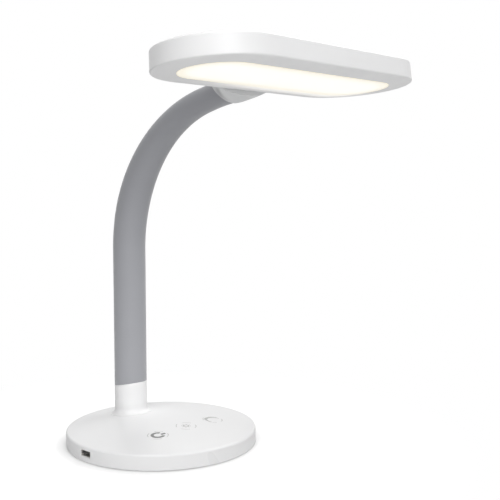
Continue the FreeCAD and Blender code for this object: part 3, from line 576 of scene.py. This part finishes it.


# ---------------------------------------------------------------- neck sleeve
# Soft matt grey silicone sleeve, thick and straight at the collar and slim at the head. Its colour is painted
# paler low down and darker higher up, as painted light and shade, under a random mottle. It is made in
# lengths; each crosses one bending place.
neck_datum = 45.0
sleeve_start = collar_height - neck_datum
seam_reach = 131.3
seam_lean = 29.0
bend_start = 137.0
bend_radius = 142.0
bend_angle = math.radians(76.0)
bend_end = bend_start + bend_radius * bend_angle
thick_radius = 15.75
slim_radius = 11.0
taper_start = 165.0
taper_length = 195.0
mouth_length = 19.0
mouth_flare = 1.3
sleeve_bore = 8.6
seam_s = bend_end + (seam_reach - bend_radius * (1 - math.cos(bend_angle))) / math.sin(bend_angle)
first_joint = 30.0
last_joint_gap = 31.7
joint_count = 9
joint_pitch = (seam_s - first_joint - last_joint_gap) / (joint_count - 1)
ring_step = 2.2
seam_fade = 26.0
edge_round = 0.5
edge_turns = (0.0, math.radians(30.0), math.radians(60.0))
blend_inset = 3.0
painted_light_below = 0.05
painted_shade_above = 0.27
mottle = 0.15
silicone_grain = 0.000012

material, start, shader = finish_of("sleeve_silicone", Roughness=0.62, Sheen_Weight=0.45, Sheen_Roughness=0.4)
grain = noise(start, 3200.0)
height = start.node("SeparateXYZ", None, {"Vector": place_in(start)}, "Z")
# Painted light and shade: the grey darkens with height, plus a random mottle.
painted_shade_and_mottle = height.ranged(painted_light_below, painted_shade_above) + (noise(start, 35.0, 3.0) - 0.5) * mottle
feed(shader, Base_Color=painted_shade_and_mottle.between(rgb(0.368, 0.373, 0.397), rgb(0.268, 0.272, 0.291)),
     Roughness=grain.ranged(0.3, 0.7, 0.58, 0.68), Normal=relief(start, grain, silicone_grain))


def neck_at(s):
    """Point of the neck's centre line, a distance s along it, and the line's lean from upright there."""
    lean = min(max(s - bend_start, 0.0) / bend_radius, bend_angle)
    past = max(0.0, s - bend_end)
    up = min(s, bend_start)
    y = setback - bend_radius * (1 - math.cos(lean)) - past * math.sin(lean)
    z = neck_datum + up + bend_radius * math.sin(lean) + past * math.cos(lean)
    return Vector((0, y, z)), lean


def sleeve_radius(s):
    """Radius of the sleeve: thick, then a smooth taper and a slight flare at the coupler."""
    t = min(max((s - taper_start) / taper_length, 0.0), 1.0)
    mouth = min(max(1 - (seam_s - s) / mouth_length, 0.0), 1.0)
    return thick_radius - (thick_radius - slim_radius) * t * t * (3 - 2 * t) + mouth_flare * mouth ** 2


def seam_shift(s, r, turn):
    """How far a ring's point is pushed along the neck, so that the end rings lie in the slanted seams."""
    side = -r * math.sin(turn)
    low = side * math.tan(math.radians(collar_slant)) * max(0.0, 1 - (s - sleeve_start) / seam_fade)
    high = side * math.tan(math.radians(seam_lean)) * max(0.0, 1 - (seam_s - s) / seam_fade)
    return low + high


def sleeve_ring(s, r, shift_at):
    ring = []
    for i in range(around_count):
        turn = 2 * math.pi * i / around_count
        point, lean = neck_at(s + seam_shift(shift_at, r, turn))
        across = Vector((0, math.cos(lean), math.sin(lean)))
        ring.append(point + Vector((1, 0, 0)) * r * math.cos(turn) + across * r * math.sin(turn))
    return ring


def sleeve_length(name, s0, s1, round_low, round_high):
    """Closed tube from s0 to s1; an end that shows as a seam has a rounded edge."""
    count = max(4, round((s1 - s0) / ring_step))
    stops = [s0 + (s1 - s0) * i / count for i in range(count + 1)]
    outline = [(s, sleeve_radius(s)) for s in stops]
    quarter = [(edge_round * (1 - math.cos(a)), edge_round * (1 - math.sin(a))) for a in edge_turns]
    if round_low:
        outline = [(s0 + a, sleeve_radius(s0) - b) for a, b in quarter] + outline[1:]
    if round_high:
        outline = outline[:-1] + [(s1 - a, sleeve_radius(s1) - b) for a, b in reversed(quarter)]
    outline += [(s, sleeve_bore) for s in reversed(stops)]
    points = []
    for s, r in outline:
        points += sleeve_ring(s, r, s)
    return new_piece(name, points, tube_faces(len(outline), around_count), material)


stations = [sleeve_start] + [first_joint + joint_pitch * (k - 0.5) for k in range(1, joint_count)] + [seam_s]
for k in range(joint_count):
    piece = sleeve_length("sleeve_length_%d" % k, stations[k], stations[k + 1], k == 0, k == joint_count - 1)
    joint = first_joint + joint_pitch * k
    reach = min(joint - stations[k], stations[k + 1] - joint) - blend_inset
    low, high = neck_at(joint - reach)[0], neck_at(joint + reach)[0]
    first_node = 0 if k == 0 else k + 1
    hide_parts(*["neck_sleeve_%d" % i for i in range(first_node, k + 2)])
    low * MM
    high * MM
    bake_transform(piece)


# ---------------------------------------------------------------- coupler
# Light grey satin moulding that leads the neck into the head: round under the sleeve, wide and flat where it
# is screwed to the rear wall. Its bore takes the steel bush and its tongue enters the wall.
coupler_middle = [Vector((0, y, z)) for y, z in ((-85.3, 325.68), (-97.5, 326.9), (-107.59, 330.78))]
coupler_half_width = (12.6, 13.3, 29.0, 34.2)
coupler_half_height = (12.6, 12.9, 11.8, 9.9)
coupler_end_middle = 4.7
coupler_lip = ((-1.2, -3.65), (-1.2, -1.0), (-0.4, -1.0), (-0.4, -0.45), (-0.25, -0.12))
coupler_steps = 14
bush_bore = 8.95
bush_depth = 13.15
wall_bite = 0.25
head_height = 15.4
head_draft = 0.6
wall_draft = head_draft / head_height
head_tilt = math.radians(-5.56)
wall_lean = math.pi / 2 + head_tilt
tongue_half = (15.0, 4.0)
tongue_reach = (-1.0, 9.0)
tongue_middle = head_height / 2
coupler_grain = 0.00001

material, start, shader = finish_of("coupler_satin", Roughness=0.3, Coat_Weight=0.4, Coat_Roughness=0.25)
grain = noise(start, 2200.0)
tone = noise(start, 40.0).ranged(0.35, 0.65)
feed(shader, Base_Color=tone.between(rgb(0.545, 0.55, 0.555), rgb(0.575, 0.58, 0.585)),
     Roughness=grain.ranged(0.3, 0.7, 0.28, 0.36), Normal=relief(start, grain, coupler_grain))


def eased(controls, t):
    """Smooth curve through numbers or points: it leaves the first and arrives at the last."""
    while len(controls) > 1:
        controls = [a + (b - a) * t for a, b in zip(controls, controls[1:])]
    return controls[0]


def oval_ring(middle, lean, half_width, half_height, ahead_of=lambda side: 0.0):
    """Oval across the neck's direction; each point may be pushed ahead by a function of its height."""
    across = Vector((0, math.cos(lean), math.sin(lean)))
    ahead = Vector((0, -math.sin(lean), math.cos(lean)))
    ring = []
    for i in range(around_count):
        turn = 2 * math.pi * i / around_count
        side = half_height * math.sin(turn)
        ring.append(middle + Vector((half_width * math.cos(turn), 0, 0))
                    + across * side + ahead * ahead_of(side))
    return ring


def seam_push(t):
    """The slant of the seam, as a push by height; it fades out towards the head as t goes from 0 to 1."""
    return lambda side: -side * math.tan(math.radians(seam_lean)) * (1 - t) ** 2


def past_seam(reach, radius):
    """Round ring parallel to the seam, a distance past it."""
    return oval_ring(neck_at(seam_s + reach)[0], bend_angle, radius, radius, seam_push(0.0))


rings = [oval_ring(neck_at(seam_s + bush_depth)[0], bend_angle, bush_bore, bush_bore),
         *[past_seam(reach, coupler_half_width[0] + out) for reach, out in coupler_lip]]
for k in range(coupler_steps + 1):
    t = k / coupler_steps
    rings.append(oval_ring(eased(coupler_middle, t), eased((bend_angle, wall_lean), t),
                           eased(coupler_half_width, t), eased(coupler_half_height, t), seam_push(t)))
rings.append(oval_ring(coupler_middle[-1], wall_lean, coupler_half_width[-1], coupler_half_height[-1],
                       lambda side: wall_bite + wall_draft * max(coupler_end_middle + side, 0.0)))
points = [point for ring in rings for point in ring]
faces = tube_faces(len(rings), around_count)[:-around_count]
faces += [tuple(reversed(range(around_count))), tuple(range(len(points) - around_count, len(points)))]

across = Vector((0, math.cos(wall_lean), math.sin(wall_lean)))
ahead = Vector((0, -math.sin(wall_lean), math.cos(wall_lean)))
middle = coupler_middle[-1] + across * (tongue_middle - coupler_end_middle)
first = len(points)
for reach in tongue_reach:
    points += [middle + Vector((x * tongue_half[0], 0, 0)) + across * (z * tongue_half[1]) + ahead * reach
               for x, z in ((-1, -1), (1, -1), (1, 1), (-1, 1))]
faces += [(first + i, first + (i + 1) % 4, first + 4 + (i + 1) % 4, first + 4 + i) for i in range(4)]
faces += [(first + 3, first + 2, first + 1, first), (first + 4, first + 5, first + 6, first + 7)]
coupler = new_piece("coupler", points, faces, material)
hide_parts("neck_coupler")
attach(coupler, "head")


# ---------------------------------------------------------------- head shell
# The long half-round housing of the head, moulded in glossy white ABS like the base, but painted a darker
# white as painted shade.
material, start, shader = finish_of("head_abs_gloss", Roughness=0.3)
cloud = noise(start, 12.0, 1.0)
# Painted shade: a darker white than the base cover's, against the stronger light on the head.
feed(shader, Base_Color=cloud.ranged(0.2, 0.8).between(rgb(0.762, 0.762, 0.766), rgb(0.777, 0.777, 0.78)),
     Roughness=cloud.ranged(0.2, 0.8, 0.29, 0.33), Normal=relief(start, noise(start, 120.0), abs_ripple))
dress(material, "head_housing", "head_shell")


# ---------------------------------------------------------------- front frame
# Satin frame round the lit window: a fine spark-eroded grain on a white resin. Snap hooks hold it. A little
# of the light inside shines through it beside the window, on the neck's side.
head_middle = Vector((0.0, -160.4, 331.2)) * MM
window_run = 82.4 * MM
window_radius = 31.6 * MM
spill_width = 17.0 * MM
spill_start = -0.095
spill_full = 0.02
spill_glow = 0.4
frame_grain = 0.000015


def round_window(start):
    """A place on the head's face: along X, across, and its distance from the window's middle line."""
    x, y, z = [start.node("SeparateXYZ", None, {"Vector": place_in(start)}, k) for k in range(3)]
    along = start.maths("MAXIMUM", abs(x) - window_run, 0.0)
    across = (y - head_middle.y) * math.cos(head_tilt) + (z - head_middle.z) * math.sin(head_tilt)
    return x, across, (along * along + across * across) ** 0.5


material, start, shader = finish_of("frame_abs_satin", Roughness=0.5, Emission_Strength=spill_glow)
grain = noise(start, 2600.0, 2.0)
x, across, from_line = round_window(start)
spill = (from_line - window_radius).ranged(0.0, spill_width, 1.0, 0.0) * across.ranged(0.0, window_radius)
spill *= x.ranged(spill_start, spill_full)
tone = noise(start, 30.0, 1.0).ranged(0.2, 0.8)
feed(shader, Base_Color=tone.between(rgb(0.735, 0.735, 0.74), rgb(0.76, 0.76, 0.76)),
     Emission_Color=spill.between(rgb(0, 0, 0), rgb(1.0, 0.96, 0.88)),
     Roughness=grain.ranged(0.3, 0.7, 0.46, 0.58), Normal=relief(start, grain, frame_grain))
dress(material, "frame_plastic", "head_frame")


# ---------------------------------------------------------------- diffuser
# Opal acrylic panel, lit from behind: an even warm white that falls off to cream near the window's edge.
glow_margin = 13.0 * MM
opal_glow = 0.42

material, start, shader = finish_of("opal_acrylic", Roughness=0.45, Emission_Strength=opal_glow)
from_line = round_window(start)[2]
lit = (window_radius - from_line).ranged(0.0, glow_margin)
feed(shader, Base_Color=lit.between(rgb(0.82, 0.78, 0.68), rgb(0.84, 0.83, 0.80)),
     Emission_Color=lit.between(rgb(0.86, 0.78, 0.60), rgb(1.0, 0.98, 0.90)))
dress(material, "opal", "diffuser")


# ---------------------------------------------------------------- light engine
# Behind the diffuser: a white aluminium board with rows of yellow phosphor LEDs, and a skirt of white
# reflector sheet between the two.
led_pitch_x = 13.5 * MM
led_pitch_y = 15.8 * MM
phosphor_radius = 1.1 * MM
phosphor_fade = 0.9
sheet_grain = 0.00001

material, start, shader = finish_of("white_mask_board", Roughness=0.4)
cloud = noise(start, 60.0, 3.0)
feed(shader, Base_Color=cloud.ranged(0.3, 0.7).between(rgb(0.80, 0.80, 0.78), rgb(0.85, 0.85, 0.83)),
     Roughness=cloud.ranged(0.3, 0.7, 0.34, 0.46))
dress(material, "board_white", "led_board")

material, start, shader = finish_of("reflector_sheet", Roughness=0.3)
grain = noise(start, 700.0)
feed(shader, Base_Color=grain.ranged(0.3, 0.7).between(rgb(0.88, 0.88, 0.88), rgb(0.92, 0.92, 0.92)),
     Normal=relief(start, grain, sheet_grain))
dress(material, "reflector_white", "reflector")

material, start, shader = finish_of("led_phosphor", Roughness=0.35)
x, y = [start.node("SeparateXYZ", None, {"Vector": place_in(start)}, k) for k in range(2)]
beside = start.maths("FRACT", x / led_pitch_x) - 0.5
above = start.maths("FRACT", (y - head_middle.y) / (led_pitch_y * math.cos(head_tilt))) - 0.5
off_middle = ((beside * led_pitch_x) ** 2.0 + (above * led_pitch_y) ** 2.0) ** 0.5
rim = off_middle.ranged(phosphor_radius * phosphor_fade, phosphor_radius)
feed(shader, Base_Color=rim.between(rgb(0.86, 0.62, 0.08), rgb(0.84, 0.84, 0.80)))
dress(material, "led_package", "leds")
